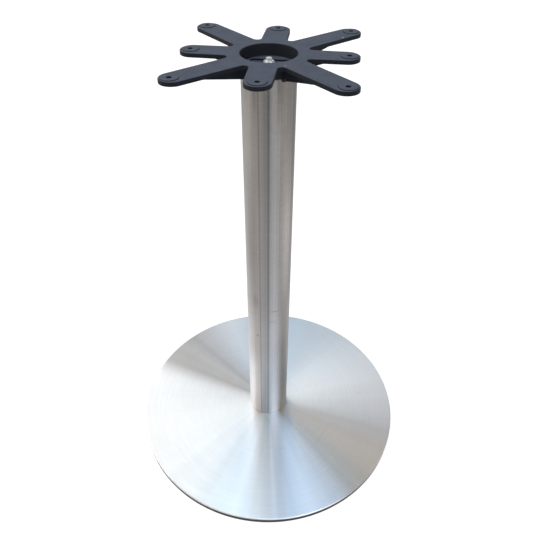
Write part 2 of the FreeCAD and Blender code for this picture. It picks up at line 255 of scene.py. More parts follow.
class NodeSketch:
    """A node tree while its nodes are laid out and joined."""

    def __init__(self, tree: bpy.types.NodeTree) -> None:
        """Start on an empty tree.

        Args:
            tree: The tree. What it holds is cleared.
        """
        self.tree = tree
        self.tree.nodes.clear()

    def add(self, kind: str, **settings: object) -> bpy.types.Node:
        """Add a node and set its properties.

        Args:
            kind: The node's class name.
            **settings: The node's own properties.

        Returns:
            The new node.
        """
        node = self.tree.nodes.new(kind)
        for key, value in settings.items():
            setattr(node, key, value)
        return node

    def join(self, source: bpy.types.NodeSocket, target: bpy.types.NodeSocket) -> None:
        """Link one node's output to another's input."""
        self.tree.links.new(source, target)

    def feed(self, value: object, target: bpy.types.NodeSocket) -> None:
        """Link an input to a socket, or set it to a plain value.

        Args:
            value: A socket, or the value itself.
            target: The input that takes it.
        """
        if isinstance(value, bpy.types.NodeSocket):
            self.join(value, target)
        else:
            target.default_value = value

    def math(self, operation: str, *values: object) -> bpy.types.NodeSocket:
        """A Math node over sockets or numbers.

        Args:
            operation: The node's operation.
            *values: Its inputs in order.

        Returns:
            The result's socket.
        """
        node = self.add("ShaderNodeMath", operation=operation)
        for value, target in zip(values, node.inputs):
            self.feed(value, target)
        return node.outputs[0]

    def vector_math(self, operation: str, *values: object) -> bpy.types.Node:
        """A Vector Math node over sockets or vectors.

        Args:
            operation: The node's operation.
            *values: Its inputs in order.

        Returns:
            The node itself, because its result may be a vector or a number.
        """
        node = self.add("ShaderNodeVectorMath", operation=operation)
        for value, target in zip(values, node.inputs):
            self.feed(value, target)
        return node

    def object_place(self) -> bpy.types.NodeSocket:
        """The surface's place in the object's own coordinates."""
        return self.add("ShaderNodeTexCoord").outputs["Object"]

    def noise(self, place: bpy.types.NodeSocket, scale: float, detail: float = 2.0,
              roughness: float = 0.5) -> bpy.types.NodeSocket:
        """A noise pattern between 0 and 1.

        Args:
            place: The coordinates it is laid on.
            scale: How many of its cells go into one metre.
            detail: How many finer layers are added.
            roughness: How strong the finer layers are.

        Returns:
            The pattern's socket.
        """
        node = self.add("ShaderNodeTexNoise")
        self.join(place, node.inputs["Vector"])
        node.inputs["Scale"].default_value = scale
        node.inputs["Detail"].default_value = detail
        node.inputs["Roughness"].default_value = roughness
        return node.outputs["Fac"]

    def spread(self, value: bpy.types.NodeSocket, low: float, high: float,
               from_low: float = NOISE_LOW, from_high: float = NOISE_HIGH,
               ) -> bpy.types.NodeSocket:
        """Map a pattern to a range, and hold it inside that range.

        Args:
            value: The pattern.
            low: The result at the pattern's low mark.
            high: The result at the pattern's high mark.
            from_low: The pattern's low mark.
            from_high: The pattern's high mark.

        Returns:
            The mapped socket.
        """
        node = self.add("ShaderNodeMapRange")
        for name, number in (("From Min", from_low), ("From Max", from_high),
                             ("To Min", low), ("To Max", high)):
            node.inputs[name].default_value = number
        self.join(value, node.inputs["Value"])
        return node.outputs["Result"]

    def soft_step(self, value: bpy.types.NodeSocket, outer: float,
                  inner: float) -> bpy.types.NodeSocket:
        """Rise smoothly from 0 at one mark to 1 at the other.

        Args:
            value: The pattern.
            outer: The mark where the result is 0.
            inner: The mark where it is 1.

        Returns:
            The result's socket.
        """
        node = self.add("ShaderNodeMapRange", interpolation_type="SMOOTHSTEP")
        node.inputs["From Min"].default_value = outer
        node.inputs["From Max"].default_value = inner
        self.join(value, node.inputs["Value"])
        return node.outputs["Result"]

    def tint(self, factor: bpy.types.NodeSocket, low: tuple[float, ...],
             high: tuple[float, ...]) -> bpy.types.NodeSocket:
        """Mix two colours by a pattern.

        Args:
            factor: The pattern, 0 for the first colour and 1 for the second.
            low: The first colour.
            high: The second colour.

        Returns:
            The colour's socket.
        """
        return self.blend(factor, (*low, 1.0), (*high, 1.0))

    def blend(self, factor: bpy.types.NodeSocket, low: object,
              high: object) -> bpy.types.NodeSocket:
        """Mix two colours, each given as a socket or as a plain value, by a pattern.

        Args:
            factor: The pattern, 0 for the first colour and 1 for the second.
            low: The first colour.
            high: The second colour.

        Returns:
            The colour's socket.
        """
        node = self.add("ShaderNodeMix", data_type="RGBA")
        self.join(factor, node.inputs["Factor"])
        self.feed(low, node.inputs["A"])
        self.feed(high, node.inputs["B"])
        return node.outputs["Result"]

    def bump(self, height: bpy.types.NodeSocket, depth: float, strength: float = 1.0,
             under: bpy.types.NodeSocket | None = None) -> bpy.types.NodeSocket:
        """Raise the surface by a pattern.

        Args:
            height: The pattern.
            depth: How high it stands, in metres.
            strength: How much of it shows.
            under: The normal that it is laid over, where there is one.

        Returns:
            The normal's socket.
        """
        node = self.add("ShaderNodeBump")
        node.inputs["Strength"].default_value = strength
        node.inputs["Distance"].default_value = depth
        self.join(height, node.inputs["Height"])
        if under is not None:
            self.join(under, node.inputs["Normal"])
        return node.outputs["Normal"]


class SurfaceSketch(NodeSketch):
    """A material while its nodes are laid out and joined."""

    def __init__(self, name: str) -> None:
        """Start a new material with a Principled shader and nothing else.

        Args:
            name: The material's name.
        """
        self.material = bpy.data.materials.new(name)
        self.material.use_nodes = True
        super().__init__(self.material.node_tree)
        self.output = self.add("ShaderNodeOutputMaterial")
        self.shader = self.add("ShaderNodeBsdfPrincipled")
        self.join(self.shader.outputs["BSDF"], self.output.inputs["Surface"])

    def set(self, **values: object) -> None:
        """Set the shader's own sockets, or link patterns to them."""
        for key, value in values.items():
            self.feed(value, self.shader.inputs[key.replace("_", " ")])


def shade(colour: tuple[float, float, float], factor: float) -> tuple[float, float, float]:
    """A colour made lighter or darker by a factor, and held below full white."""
    return tuple(min(1.0, channel * factor) for channel in colour)


@dataclass(frozen=True)
class ReflectionStreak:
    """A line of another tone across the grain, the length of the part. It is a painted
    reflection of narrow things round the part that the steel mirrors, drawn like a polishing
    streak."""

    azimuth: float                  # degrees from +X towards +Y
    before: float                   # how far it fades out on its first side, in degrees
    after: float                    # and on its second side
    tone: float                     # the colour's factor along its middle


@dataclass(frozen=True)
class SmudgeAndReflection:
    """A soft patch, darker or lighter than the steel round it. The small ones are handling
    marks. The broad ones are painted reflections of what the tube mirrors and the plain room
    lacks."""

    place: tuple[float, float, float]       # its middle, in millimetres
    reach: tuple[float, float, float]       # how far it goes each way, in millimetres
    tone: float                             # the colour's factor in its middle


@dataclass(frozen=True)
class ReflectionTone:
    """A painted reflection's tone at one height. The tube mirrors the bright foot low down, and
    darker things higher up, which the plain room lacks, so its colour is painted lighter low
    down and darker higher up."""

    height: float                           # in millimetres
    tone: tuple[float, float, float]        # the colour's factor there


@dataclass(frozen=True)
class BrushedSteel:
    """Stainless steel with a fine grain that runs round the part's axis. Where it has them,
    painted
    reflections are laid on its colour: a tone by height, streaks and broad patches.
    """

    name: str
    slot: str
    run: GrainRun
    colour: tuple[float, float, float]
    roughness: float
    stretch: float                  # the shader's anisotropy
    turn: float = 0.25              # draws the reflections out across the grain
    line_width: float = 0.35 * MM
    band_width: float = 3.2 * MM
    line_length: float = 30 * MM
    reach: float = 0.1              # the radius at which the lines have that length
    contrast: float = 0.05
    line_share: float = 0.6         # of the lines in the tone, and the rest is the bands'
    depth: float = 0.004 * MM       # of the lines' relief
    relief: float = 0.4             # how much of that relief shows
    gloss_change: float = 0.03      # how far the roughness follows the grain
    fan: float = 0.0                # contrast of the faint tones that run across the grain
    fan_cells: float = 9.0          # how many of them go into one radian
    patch_cells: float = 120.0     # of the noise that breaks up a patch's edge
    patch_waver: float = 0.2       # how far that noise moves the edge
    # painted reflection: the colour's tone by height
    reflection_rise: tuple[ReflectionTone, ...] = ()
    # painted reflections: narrow streaks of the things round the part
    reflection_streaks: tuple[ReflectionStreak, ...] = ()
    # patches: the broad ones painted reflections, the small ones smudges
    smudges_and_reflections: tuple[SmudgeAndReflection, ...] = ()

    def material(self) -> bpy.types.Material:
        """Build the finish.

        Returns:
            The material.
        """
        sketch = SurfaceSketch(self.name)
        grain, bands = self.grain(sketch)
        both = sketch.math("ADD", sketch.math("MULTIPLY", grain, self.line_share),
                           sketch.math("MULTIPLY", bands, 1 - self.line_share))
        tone = sketch.spread(both, 0.0, 1.0)
        colour = sketch.tint(tone, shade(self.colour, 1 - self.contrast),
                             shade(self.colour, 1 + self.contrast))
        # painted reflection: lighter low down where the tube mirrors the foot, darker higher up
        if self.reflection_rise:
            colour = sketch.vector_math("MULTIPLY", colour,
                                        self.reflection_by_height(sketch)).outputs["Vector"]
        # random tones across the grain, then the painted reflection streaks and the patches:
        # broad painted reflections and small smudges
        for factor in [self.fanned(sketch), *self.reflections_and_smudges(sketch)]:
            scaled = sketch.vector_math("SCALE", colour)
            sketch.join(factor, scaled.inputs["Scale"])
            colour = scaled.outputs["Vector"]
        rough = sketch.spread(both, self.roughness + self.gloss_change,
                              self.roughness - self.gloss_change)
        tangent = sketch.add("ShaderNodeTangent", direction_type="RADIAL", axis="Z")
        sketch.set(Base_Color=colour, Roughness=rough, Metallic=1.0,
                   Anisotropic=self.stretch, Anisotropic_Rotation=self.turn,
                   Tangent=tangent.outputs["Tangent"],
                   Normal=sketch.bump(grain, self.depth, self.relief))
        return sketch.material

    def reflection_by_height(self, sketch: NodeSketch) -> bpy.types.NodeSocket:
        """Draw the painted reflection that changes with the height.

        Args:
            sketch: The material that takes it.

        Returns:
            The factor that it puts on the colour.
        """
        parts = sketch.add("ShaderNodeSeparateXYZ")
        sketch.join(sketch.object_place(), parts.inputs["Vector"])
        node = sketch.add("ShaderNodeValToRGB")
        ramp = node.color_ramp
        ramp.interpolation = "EASE"
        reach = self.reflection_rise[-1].height * MM
        sketch.join(sketch.math("DIVIDE", parts.outputs["Z"], reach), node.inputs["Fac"])
        for mark in self.reflection_rise[1:-1]:
            ramp.elements.new(mark.height * MM / reach)
        for element, mark in zip(ramp.elements, self.reflection_rise):
            element.position = mark.height * MM / reach
            element.color = (*mark.tone, 1.0)
        return node.outputs["Color"]

    def fanned(self, sketch: NodeSketch) -> bpy.types.NodeSocket:
        """Draw the faint tones that the polishing leaves across the grain.

        Args:
            sketch: The material that takes them.

        Returns:
            The factor that they put on the colour.
        """
        flat = sketch.vector_math("MULTIPLY", sketch.object_place(), FLAT)
        outward = sketch.vector_math("NORMALIZE", flat.outputs["Vector"]).outputs["Vector"]
        tones = sketch.noise(outward, self.fan_cells, 4.0, 0.65)
        return sketch.spread(tones, 1 - self.fan, 1 + self.fan)

    def reflections_and_smudges(self, sketch: NodeSketch) -> list[bpy.types.NodeSocket]:
        """Draw the painted reflection streaks, and the patches: broad painted reflections and
        small smudges.

        Args:
            sketch: The material that takes them.

        Returns:
            The factors that they put on the colour.
        """
        place = sketch.object_place()
        factors = []
        if self.reflection_streaks:
            parts = sketch.add("ShaderNodeSeparateXYZ")
            sketch.join(place, parts.inputs["Vector"])
            turn = sketch.math("ARCTAN2", parts.outputs["Y"], parts.outputs["X"])
        for streak in self.reflection_streaks:
            aside = sketch.math("SUBTRACT", turn, math.radians(streak.azimuth))
            left = sketch.soft_step(aside, -math.radians(streak.before), 0.0)
            right = sketch.soft_step(aside, math.radians(streak.after), 0.0)
            share = sketch.math("MULTIPLY", left, right)
            factors.append(sketch.spread(share, 1.0, streak.tone, 0.0, 1.0))
        for patch in self.smudges_and_reflections:
            middle = tuple(part * MM for part in patch.place)
            reach = tuple(part * MM for part in patch.reach)
            offset = sketch.vector_math("SUBTRACT", place, middle).outputs["Vector"]
            scaled = sketch.vector_math("DIVIDE", offset, reach).outputs["Vector"]
            distance = sketch.vector_math("LENGTH", scaled).outputs["Value"]
            waver = sketch.math("MULTIPLY", sketch.noise(place, self.patch_cells, 3.0, 0.6),
                                self.patch_waver)
            share = sketch.soft_step(sketch.math("ADD", distance, waver),
                                     1 + self.patch_waver, self.patch_waver / 2)
            factors.append(sketch.spread(share, 1.0, patch.tone, 0.0, 1.0))
        return factors

    def grain(self, sketch: NodeSketch) -> tuple[bpy.types.NodeSocket, bpy.types.NodeSocket]:
        """Draw the brushed lines: long round the axis and narrow across.

        Args:
            sketch: The material that takes them.

        Returns:
            The fine lines and the broader bands.
        """
        place = sketch.object_place()
        flat = sketch.vector_math("MULTIPLY", place, FLAT).outputs["Vector"]
        outward = sketch.vector_math("NORMALIZE", flat).outputs["Vector"]
        around = sketch.vector_math("SCALE", outward)
        around.inputs["Scale"].default_value = self.reach / self.line_length
        if self.run is GrainRun.OUTWARD:
            across = sketch.vector_math("LENGTH", flat).outputs["Value"]
        else:
            parts = sketch.add("ShaderNodeSeparateXYZ")
            sketch.join(place, parts.inputs["Vector"])
            across = parts.outputs["Z"]
        patterns = []
        for width in (self.line_width, self.band_width):
            lifted = sketch.add("ShaderNodeCombineXYZ")
            sketch.join(sketch.math("MULTIPLY", across, 1 / width), lifted.inputs["Z"])
            laid = sketch.vector_math("ADD", around.outputs["Vector"], lifted.outputs["Vector"])
            patterns.append(sketch.noise(laid.outputs["Vector"], 1.0, 2.0))
        return patterns[0], patterns[1]


@dataclass(frozen=True)
class Chip:
    """A place where the coat is knocked off."""

    place: tuple[float, float, float]       # its middle, in millimetres
    reach: float                            # in millimetres


@dataclass(frozen=True)
class PowderCoat:
    """A fine-textured powder coat over a casting. Faces that look up show the coat's blue-grey
    with a painted lit sheen, the other faces are painted much darker as shade, and a few chips
    show the primer."""

    name: str = "spider_powder_coat"
    slot: str = "spider_coating"
    # painted shade on faces that look sideways or down, painted lit sheen on faces that look up
    shaded_side_colour: tuple[float, float, float] = (0.0105, 0.0125, 0.0175)
    lit_top_colour: tuple[float, float, float] = (0.074, 0.088, 0.118)
    chip_colour: tuple[float, float, float] = (0.34, 0.35, 0.36)
    roughness: float = 0.62
    gloss: float = 0.12
    gloss_change: float = 0.06      # how far the roughness follows the pebbling
    speckle: float = 0.20           # contrast of the faces that look up
    pebble_share: float = 0.6       # of the pebbling in that contrast
    fine_cells: float = 1400.0      # of each pattern, to the metre
    pebble_cells: float = 400.0
    cast_cells: float = 60.0
    lit_from: float = 0.55         # how far up a face looks where the painted lit sheen begins
    lit_full: float = 0.98         # and where it covers the face
    chip_cells: float = 900.0       # of the noise that makes a chip's edge ragged
    chip_outer: float = 1.3         # the chip's edge, in reaches with the noise added
    chip_inner: float = 1.0
    chips: tuple[Chip, ...] = ()

    def material(self) -> bpy.types.Material:
        """Build the finish.

        Returns:
            The material.
        """
        sketch = SurfaceSketch(self.name)
        place = sketch.object_place()
        fine = sketch.noise(place, self.fine_cells, 3.0, 0.6)
        pebble = sketch.noise(place, self.pebble_cells, 2.0, 0.6)
        cast = sketch.noise(place, self.cast_cells, 3.0, 0.5)
        both = sketch.math("ADD", sketch.math("MULTIPLY", pebble, self.pebble_share),
                           sketch.math("MULTIPLY", cast, 1 - self.pebble_share))
        tone = sketch.spread(both, 0.0, 1.0)
        # painted light: faces that look up take the lit sheen, the rest the painted shade
        lit_top = sketch.tint(tone, shade(self.lit_top_colour, 1 - self.speckle),
                            shade(self.lit_top_colour, 1 + self.speckle))
        parts = sketch.add("ShaderNodeSeparateXYZ")
        sketch.join(sketch.add("ShaderNodeNewGeometry").outputs["Normal"],
                    parts.inputs["Vector"])
        upward = sketch.soft_step(parts.outputs["Z"], self.lit_from, self.lit_full)
        coat = sketch.blend(upward, (*self.shaded_side_colour, 1.0), lit_top)
        chipped = self.chipped(sketch, place)
        if chipped is not None:
            coat = sketch.blend(chipped, coat, (*self.chip_colour, 1.0))
        normal = sketch.bump(cast, 0.25 * MM, 0.5)
        normal = sketch.bump(pebble, 0.10 * MM, 0.6, normal)
        normal = sketch.bump(fine, 0.03 * MM, 0.5, normal)
        rough = sketch.spread(pebble, self.roughness - self.gloss_change,
                              self.roughness + self.gloss_change)
        sketch.set(Base_Color=coat, Roughness=rough, Metallic=0.0,
                   Specular_IOR_Level=self.gloss, Normal=normal)
        return sketch.material

    def chipped(self, sketch: NodeSketch,
                place: bpy.types.NodeSocket) -> bpy.types.NodeSocket | None:
        """Draw the chips.

        Args:
            sketch: The material that takes them.
            place: The surface's place.

        Returns:
            Where the coat is gone, or None where it has no chips.
        """
        gone = None
        for chip in self.chips:
            middle = tuple(part * MM for part in chip.place)
            offset = sketch.vector_math("SUBTRACT", place, middle).outputs["Vector"]
            distance = sketch.vector_math("LENGTH", offset).outputs["Value"]
            ragged = sketch.math("ADD", sketch.math("MULTIPLY", distance, 1 / (chip.reach * MM)),
                                 sketch.noise(place, self.chip_cells, 2.0, 0.6))
            bare = sketch.soft_step(ragged, self.chip_outer, self.chip_inner)
            gone = bare if gone is None else sketch.math("MAXIMUM", gone, bare)
        return gone


@dataclass(frozen=True)
class PlainFinish:
    """A finish with an even colour, broken up by a fine pattern in tone, gloss and height."""

    name: str
    slot: str
    colour: tuple[float, float, float]
    roughness: float
    metallic: float
    cells: float = 400.0
    contrast: float = 0.08
    gloss_change: float = 0.05
    depth: float = 0.03 * MM
    relief: float = 0.6

    def material(self) -> bpy.types.Material:
        """Build the finish.

        Returns:
            The material.
        """
        sketch = SurfaceSketch(self.name)
        place = sketch.object_place()
        pattern = sketch.noise(place, self.cells, 3.0, 0.6)
        tone = sketch.spread(pattern, 0.0, 1.0)
        colour = sketch.tint(tone, shade(self.colour, 1 - self.contrast),
                             shade(self.colour, 1 + self.contrast))
        rough = sketch.spread(pattern, self.roughness - self.gloss_change,
                              self.roughness + self.gloss_change)
        sketch.set(Base_Color=colour, Roughness=rough, Metallic=self.metallic,
                   Normal=sketch.bump(pattern, self.depth, self.relief))
        return sketch.material


DISC_STEEL = BrushedSteel(
    "foot_brushed_steel", "cover_steel", GrainRun.OUTWARD, (0.72, 0.72, 0.725), 0.30, 1.0,
    fan=0.02, fan_cells=9,
    # painted reflections: the fans that the brushed disc mirrors
    reflection_streaks=(ReflectionStreak(-112, 5, 5, 0.96), ReflectionStreak(-96, 4, 4, 1.04), ReflectionStreak(-89, 3, 3, 0.97),
             ReflectionStreak(-80, 2, 2, 1.09), ReflectionStreak(-74, 3, 2, 1.04), ReflectionStreak(-60, 4, 4, 0.95),
             ReflectionStreak(-51, 3, 4, 1.05), ReflectionStreak(-44.5, 3, 3, 0.93), ReflectionStreak(-15, 4, 4, 1.04),
             ReflectionStreak(-10, 3, 3, 0.97), ReflectionStreak(142, 4, 4, 0.92), ReflectionStreak(149, 4, 5, 1.07),
             ReflectionStreak(161, 4, 4, 0.91), ReflectionStreak(170, 5, 5, 1.04)))
TUBE_STEEL = BrushedSteel(
    "column_brushed_steel", "column_steel", GrainRun.UPWARD, (0.60, 0.60, 0.60), 0.40, 1.0,
    fan=0.08, fan_cells=11,
    # painted reflection by height: light low down where the tube mirrors the foot, darker higher
    # up
    reflection_rise=(ReflectionTone(60, (0.95, 0.97, 1.0)), ReflectionTone(150, (0.90, 0.92, 0.95)),
          ReflectionTone(230, (0.78, 0.77, 0.78)), ReflectionTone(340, (0.60, 0.58, 0.575)),
          ReflectionTone(450, (0.53, 0.51, 0.50)), ReflectionTone(600, (0.45, 0.43, 0.412)),
          ReflectionTone(723, (0.38, 0.36, 0.34))),
    # painted reflections: streaks of narrow things round the tube
    reflection_streaks=(ReflectionStreak(-104.5, 3, 2.5, 0.64), ReflectionStreak(-92, 3, 3, 0.90), ReflectionStreak(-83.5, 4, 4, 0.62),
             ReflectionStreak(-56, 3, 3, 0.92), ReflectionStreak(-20, 4, 4, 0.86), ReflectionStreak(-3, 12, 15, 0.62)),
    # the first eight broad patches are painted reflections, the last four small ones smudges
    smudges_and_reflections=(SmudgeAndReflection((-25, -29, 90), (24, 24, 130), 1.38),
             SmudgeAndReflection((31, -22, 485), (16, 16, 170), 1.55),
             SmudgeAndReflection((36.9, -9.2, 710), (10, 10, 230), 0.55),
             SmudgeAndReflection((-24.5, -29, 440), (16, 16, 190), 0.74),
             SmudgeAndReflection((31, -22, 175), (17, 17, 180), 0.62),
             SmudgeAndReflection((15.5, -34.7, 150), (12, 12, 170), 0.82),
             SmudgeAndReflection((34.5, -16, 90), (14, 14, 120), 0.76),
             SmudgeAndReflection((24.4, -29.1, 640), (11, 11, 150), 1.2),
             SmudgeAndReflection((-15.4, -34.7, 248), (4, 4, 4), 0.62),
             SmudgeAndReflection((15.7, -34.6, 312), (10, 10, 2.2), 0.70),
             SmudgeAndReflection((12.2, -36, 287), (10, 10, 4), 0.88),
             SmudgeAndReflection((-18.3, -33.3, 333), (9, 9, 20), 0.84)))
SPIDER_COAT = PowderCoat(chips=(Chip((93.5, 74.5, 743.2), 2.4), Chip((26.3, -45.5, 743.2), 1.8)))
RUBBER = PlainFinish("edge_rubber", "edge_rubber", (0.03, 0.028, 0.026), 0.65, 0.0)
ZINC = PlainFinish("zinc_plate", "zinc", (0.86, 0.92, 0.96), 0.30, 0.5)
PLATE_PAINT = PlainFinish("plate_paint", "plate_paint", (0.04, 0.04, 0.042), 0.6, 0.0)
TURNED_STEEL = PlainFinish("turned_steel", "turned_steel", (0.6, 0.6, 0.6), 0.35, 1.0)


def dress(piece: bpy.types.Object,
          material: bpy.types.Material) -> None:
    """Give a piece one finish.

    Args:
        piece: The piece, new or carried over.
        material: The finish's material.
    """
    piece.data.materials.clear()
    piece.data.materials.append(material)


# ---------------------------------------------------------------- pieces


@dataclass(frozen=True)
class Foot:
    """The round foot: a brushed steel cover over a weight plate in a rubber edge."""

    radius: float = 260 * MM
    sheet: float = 1.2 * MM
    crown: float = 16 * MM              # the cover's top at the column
    rim_top: float = 12 * MM            # the cover's top at its edge
    skirt_bottom: float = 9.9 * MM
    shoulder: float = 1.9 * MM          # the rolled edge
    flat_radius: float = 54 * MM        # where the dome begins
    hole_radius: float = 36.7 * MM
    ring_inset: float = 0.6 * MM        # how far the ring stands back from the cover
    ring_wall: float = 3.6 * MM
    ring_height: float = 9.7 * MM
    ring_foot: float = 16 * MM          # the width of its flange under the weight plate
    ring_foot_height: float = 2 * MM
    ring_groove: float = 0.8 * MM       # the groove's radius
    cut_edge: float = 0.3 * MM          # how the sheet's and the ring's edges are broken
    hole_edge: float = 0.2 * MM
    floor_edges: tuple[float, float] = (0.5 * MM, 0.4 * MM)     # the ring's, inside and outside
    dome_steps: int = 14
    segments: int = 384

    def dome_height(self, radius: float) -> float:
        """The dome's height, on the arc that falls a quarter of the way by its middle.

        Args:
            radius: The distance from the axis.

        Returns:
            The height.
        """
        share = (radius - self.flat_radius) / (self.radius - self.shoulder - self.flat_radius)
        return self.crown - (self.crown - self.rim_top) * share * share

    def cover(self, material: bpy.types.Material) -> bpy.types.Object:
        """The sheet cover: a flat seat for the column, a shallow dome, a rolled edge and a
        short skirt.

        Args:
            material: Its material.

        Returns:
            The cover, in place of its CAD node.
        """
        edge = self.radius - self.shoulder
        outline = [Corner(self.hole_radius, self.crown, self.hole_edge, 2),
                   Corner(self.flat_radius, self.crown)]
        steps = [self.flat_radius + (edge - self.flat_radius) * k / self.dome_steps
                 for k in range(1, self.dome_steps + 1)]
        top = [Corner(r, self.dome_height(r)) for r in steps]
        under = [Corner(r, c.height - self.sheet) for r, c in zip(steps, top)]
        outline += top
        corner_height = self.rim_top - self.shoulder
        for degrees in (70, 50, 30, 12, 0):
            angle = math.radians(degrees)
            outline.append(Corner(edge + self.shoulder * math.cos(angle),
                                  corner_height + self.shoulder * math.sin(angle)))
        outline += [Corner(self.radius, self.skirt_bottom, self.cut_edge, 3),
                    Corner(self.radius - self.sheet, self.skirt_bottom, self.cut_edge, 3)]
        inner = self.shoulder - self.sheet
        for degrees in (0, 30, 60):
            angle = math.radians(degrees)
            outline.append(Corner(edge + inner * math.cos(angle),
                                  corner_height + inner * math.sin(angle)))
        outline += reversed(under)
        outline += [Corner(self.flat_radius, self.crown - self.sheet),
                    Corner(self.hole_radius, self.crown - self.sheet)]
        piece = Lathe(self.segments).turn("foot_cover", outline)
        dress(piece, material)
        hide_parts("base_cover")
        return piece

    def edge_ring(self, rubber: PlainFinish, material: bpy.types.Material) -> bpy.types.Object:
        """The rubber ring that the weight plate sits in, with a groove round its outside.

        Args:
            rubber: The finish. It is not used.
            material: Its material.

        Returns:
            The ring, in place of its CAD node.
        """
        outer = self.radius - self.ring_inset
        inner = outer - self.ring_wall
        groove_middle = self.ring_foot_height + self.ring_groove
        outline = [Corner(inner - self.ring_foot, 0, self.floor_edges[0], 2),
                   Corner(outer, 0, self.floor_edges[1], 3)]
        for degrees in (90, 60, 30, 0, -30, -60, -90):
            angle = math.radians(degrees)
            outline.append(Corner(outer - self.ring_groove * math.cos(angle),
                                  groove_middle - self.ring_groove * math.sin(angle)))
        outline += [Corner(outer, self.ring_height, self.cut_edge, 2),
                    Corner(inner, self.ring_height, self.cut_edge, 2),
                    Corner(inner, self.ring_foot_height),
                    Corner(inner - self.ring_foot, self.ring_foot_height, self.cut_edge, 2)]
        piece = Lathe(self.segments).turn("foot_edge_ring", outline)
        dress(piece, material)
        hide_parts("edge_ring")
        return piece


@dataclass(frozen=True)
class Column:
    """The brushed tube between the foot and the bracket."""

    radius: float = 38 * MM
    wall: float = 1.5 * MM
    bottom: float = 16 * MM
    top: float = 722.9 * MM
    edge_round: float = 0.3 * MM

    def tube(self, material: bpy.types.Material) -> bpy.types.Object:
        """The tube, its cut ends lightly broken.

        Args:
            material: Its material.

        Returns:
            The tube, in place of its CAD node.
        """
        inner = self.radius - self.wall
        piece = Lathe().turn("column_tube", [
            Corner(self.radius, self.bottom, self.edge_round, 3),
            Corner(self.radius, self.top, self.edge_round, 3),
            Corner(inner, self.top, self.edge_round, 2),
            Corner(inner, self.bottom, self.edge_round, 2),
        ])
        dress(piece, material)
        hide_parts("column")
        return piece


@dataclass(frozen=True)
class TieRod:
    """The rod through the column, with its thread from below the nut to its upper end."""

    radius: float = 4 * MM
    root_radius: float = 3.3 * MM
    pitch: float = 1.25 * MM
    bottom: float = 10.8 * MM
    top: float = 736.7 * MM
    thread_start: float = 712 * MM
    chamfer: float = 0.7 * MM
    spare_turns: int = 3                # made past both ends, and cut off again
    steps: int = 40                     # in each turn, and round the shank
    sharp_angle: float = 25.0

    def thread(self) -> bpy.types.Object:
        """The threaded end: one turn's outline, screwed upwards and cut off flat.

        Returns:
            The thread, as a closed piece without a finish.
        """
        deselect_all()
        bpy.ops.mesh.primitive_circle_add(vertices=3, radius=self.radius)
        piece = bpy.context.active_object
        piece.name = "tie_rod_thread"
        turns = round((self.top - self.thread_start) / self.pitch) + self.spare_turns
        low = self.thread_start - self.pitch
        flat = self.pitch / 8
        outline = [(self.radius, 0.0), (self.radius, flat),
                   (self.root_radius, self.pitch / 2 - flat),
                   (self.root_radius, self.pitch / 2 + flat),
                   (self.radius, self.pitch - flat), (self.radius, self.pitch)]
        bpy.ops.object.mode_set(mode="EDIT")
        bpy.ops.mesh.select_mode(type="VERT")
        bpy.ops.mesh.select_all(action="SELECT")
        bpy.ops.mesh.merge(type="CENTER")
        bpy.ops.transform.translate(value=(outline[0][0], 0, low + outline[0][1]))
        for (r0, z0), (r1, z1) in zip(outline, outline[1:]):
            bpy.ops.mesh.extrude_vertices_move(
                TRANSFORM_OT_translate={"value": (r1 - r0, 0, z1 - z0)})
        bpy.ops.object.mode_set(mode="OBJECT")
        apply_modifier(piece, "SCREW", axis="Z", angle=2 * math.pi, screw_offset=self.pitch,
                       iterations=turns, steps=self.steps, render_steps=self.steps,
                       use_merge_vertices=True, merge_threshold=NEAR)
        make_active(piece)
        bpy.ops.object.mode_set(mode="EDIT")
        for height, upward in ((self.top, 1), (self.thread_start, -1)):
            bpy.ops.mesh.select_all(action="SELECT")
            bpy.ops.mesh.bisect(plane_co=(0, 0, height), plane_no=(0, 0, upward),
                                clear_outer=True, use_fill=True, threshold=NEAR)
        bpy.ops.mesh.select_all(action="SELECT")
        bpy.ops.mesh.remove_doubles(threshold=NEAR)
        face_outwards(piece)
        return piece

    def shank(self) -> bpy.types.Object:
        """The plain part of the rod, chamfered at its lower end.

        Returns:
            The shank, without a finish.
        """
        deselect_all()
        length = self.thread_start - self.bottom
        bpy.ops.mesh.primitive_cylinder_add(
            vertices=self.steps, radius=self.radius, depth=length,
            location=(0, 0, self.bottom + length / 2))
        piece = bpy.context.active_object
        piece.name = "tie_rod_shank"
        apply_place(piece)
        bpy.ops.object.mode_set(mode="EDIT")
        select_loop(piece, self.radius, self.bottom)
        bpy.ops.mesh.bevel(offset=self.chamfer, segments=1, affect="EDGES")
        bpy.ops.object.mode_set(mode="OBJECT")
        return piece

    def build(self, material: bpy.types.Material) -> list[bpy.types.Object]:
        """The shank and the threaded end, in their finish.

        Args:
            material: Its material.

        Returns:
            The two pieces.
        """
        pieces = [self.shank(), self.thread()]
        for piece in pieces:
            smooth(piece, self.sharp_angle)
            dress(piece, material)
        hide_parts("tie_rod")
        return pieces


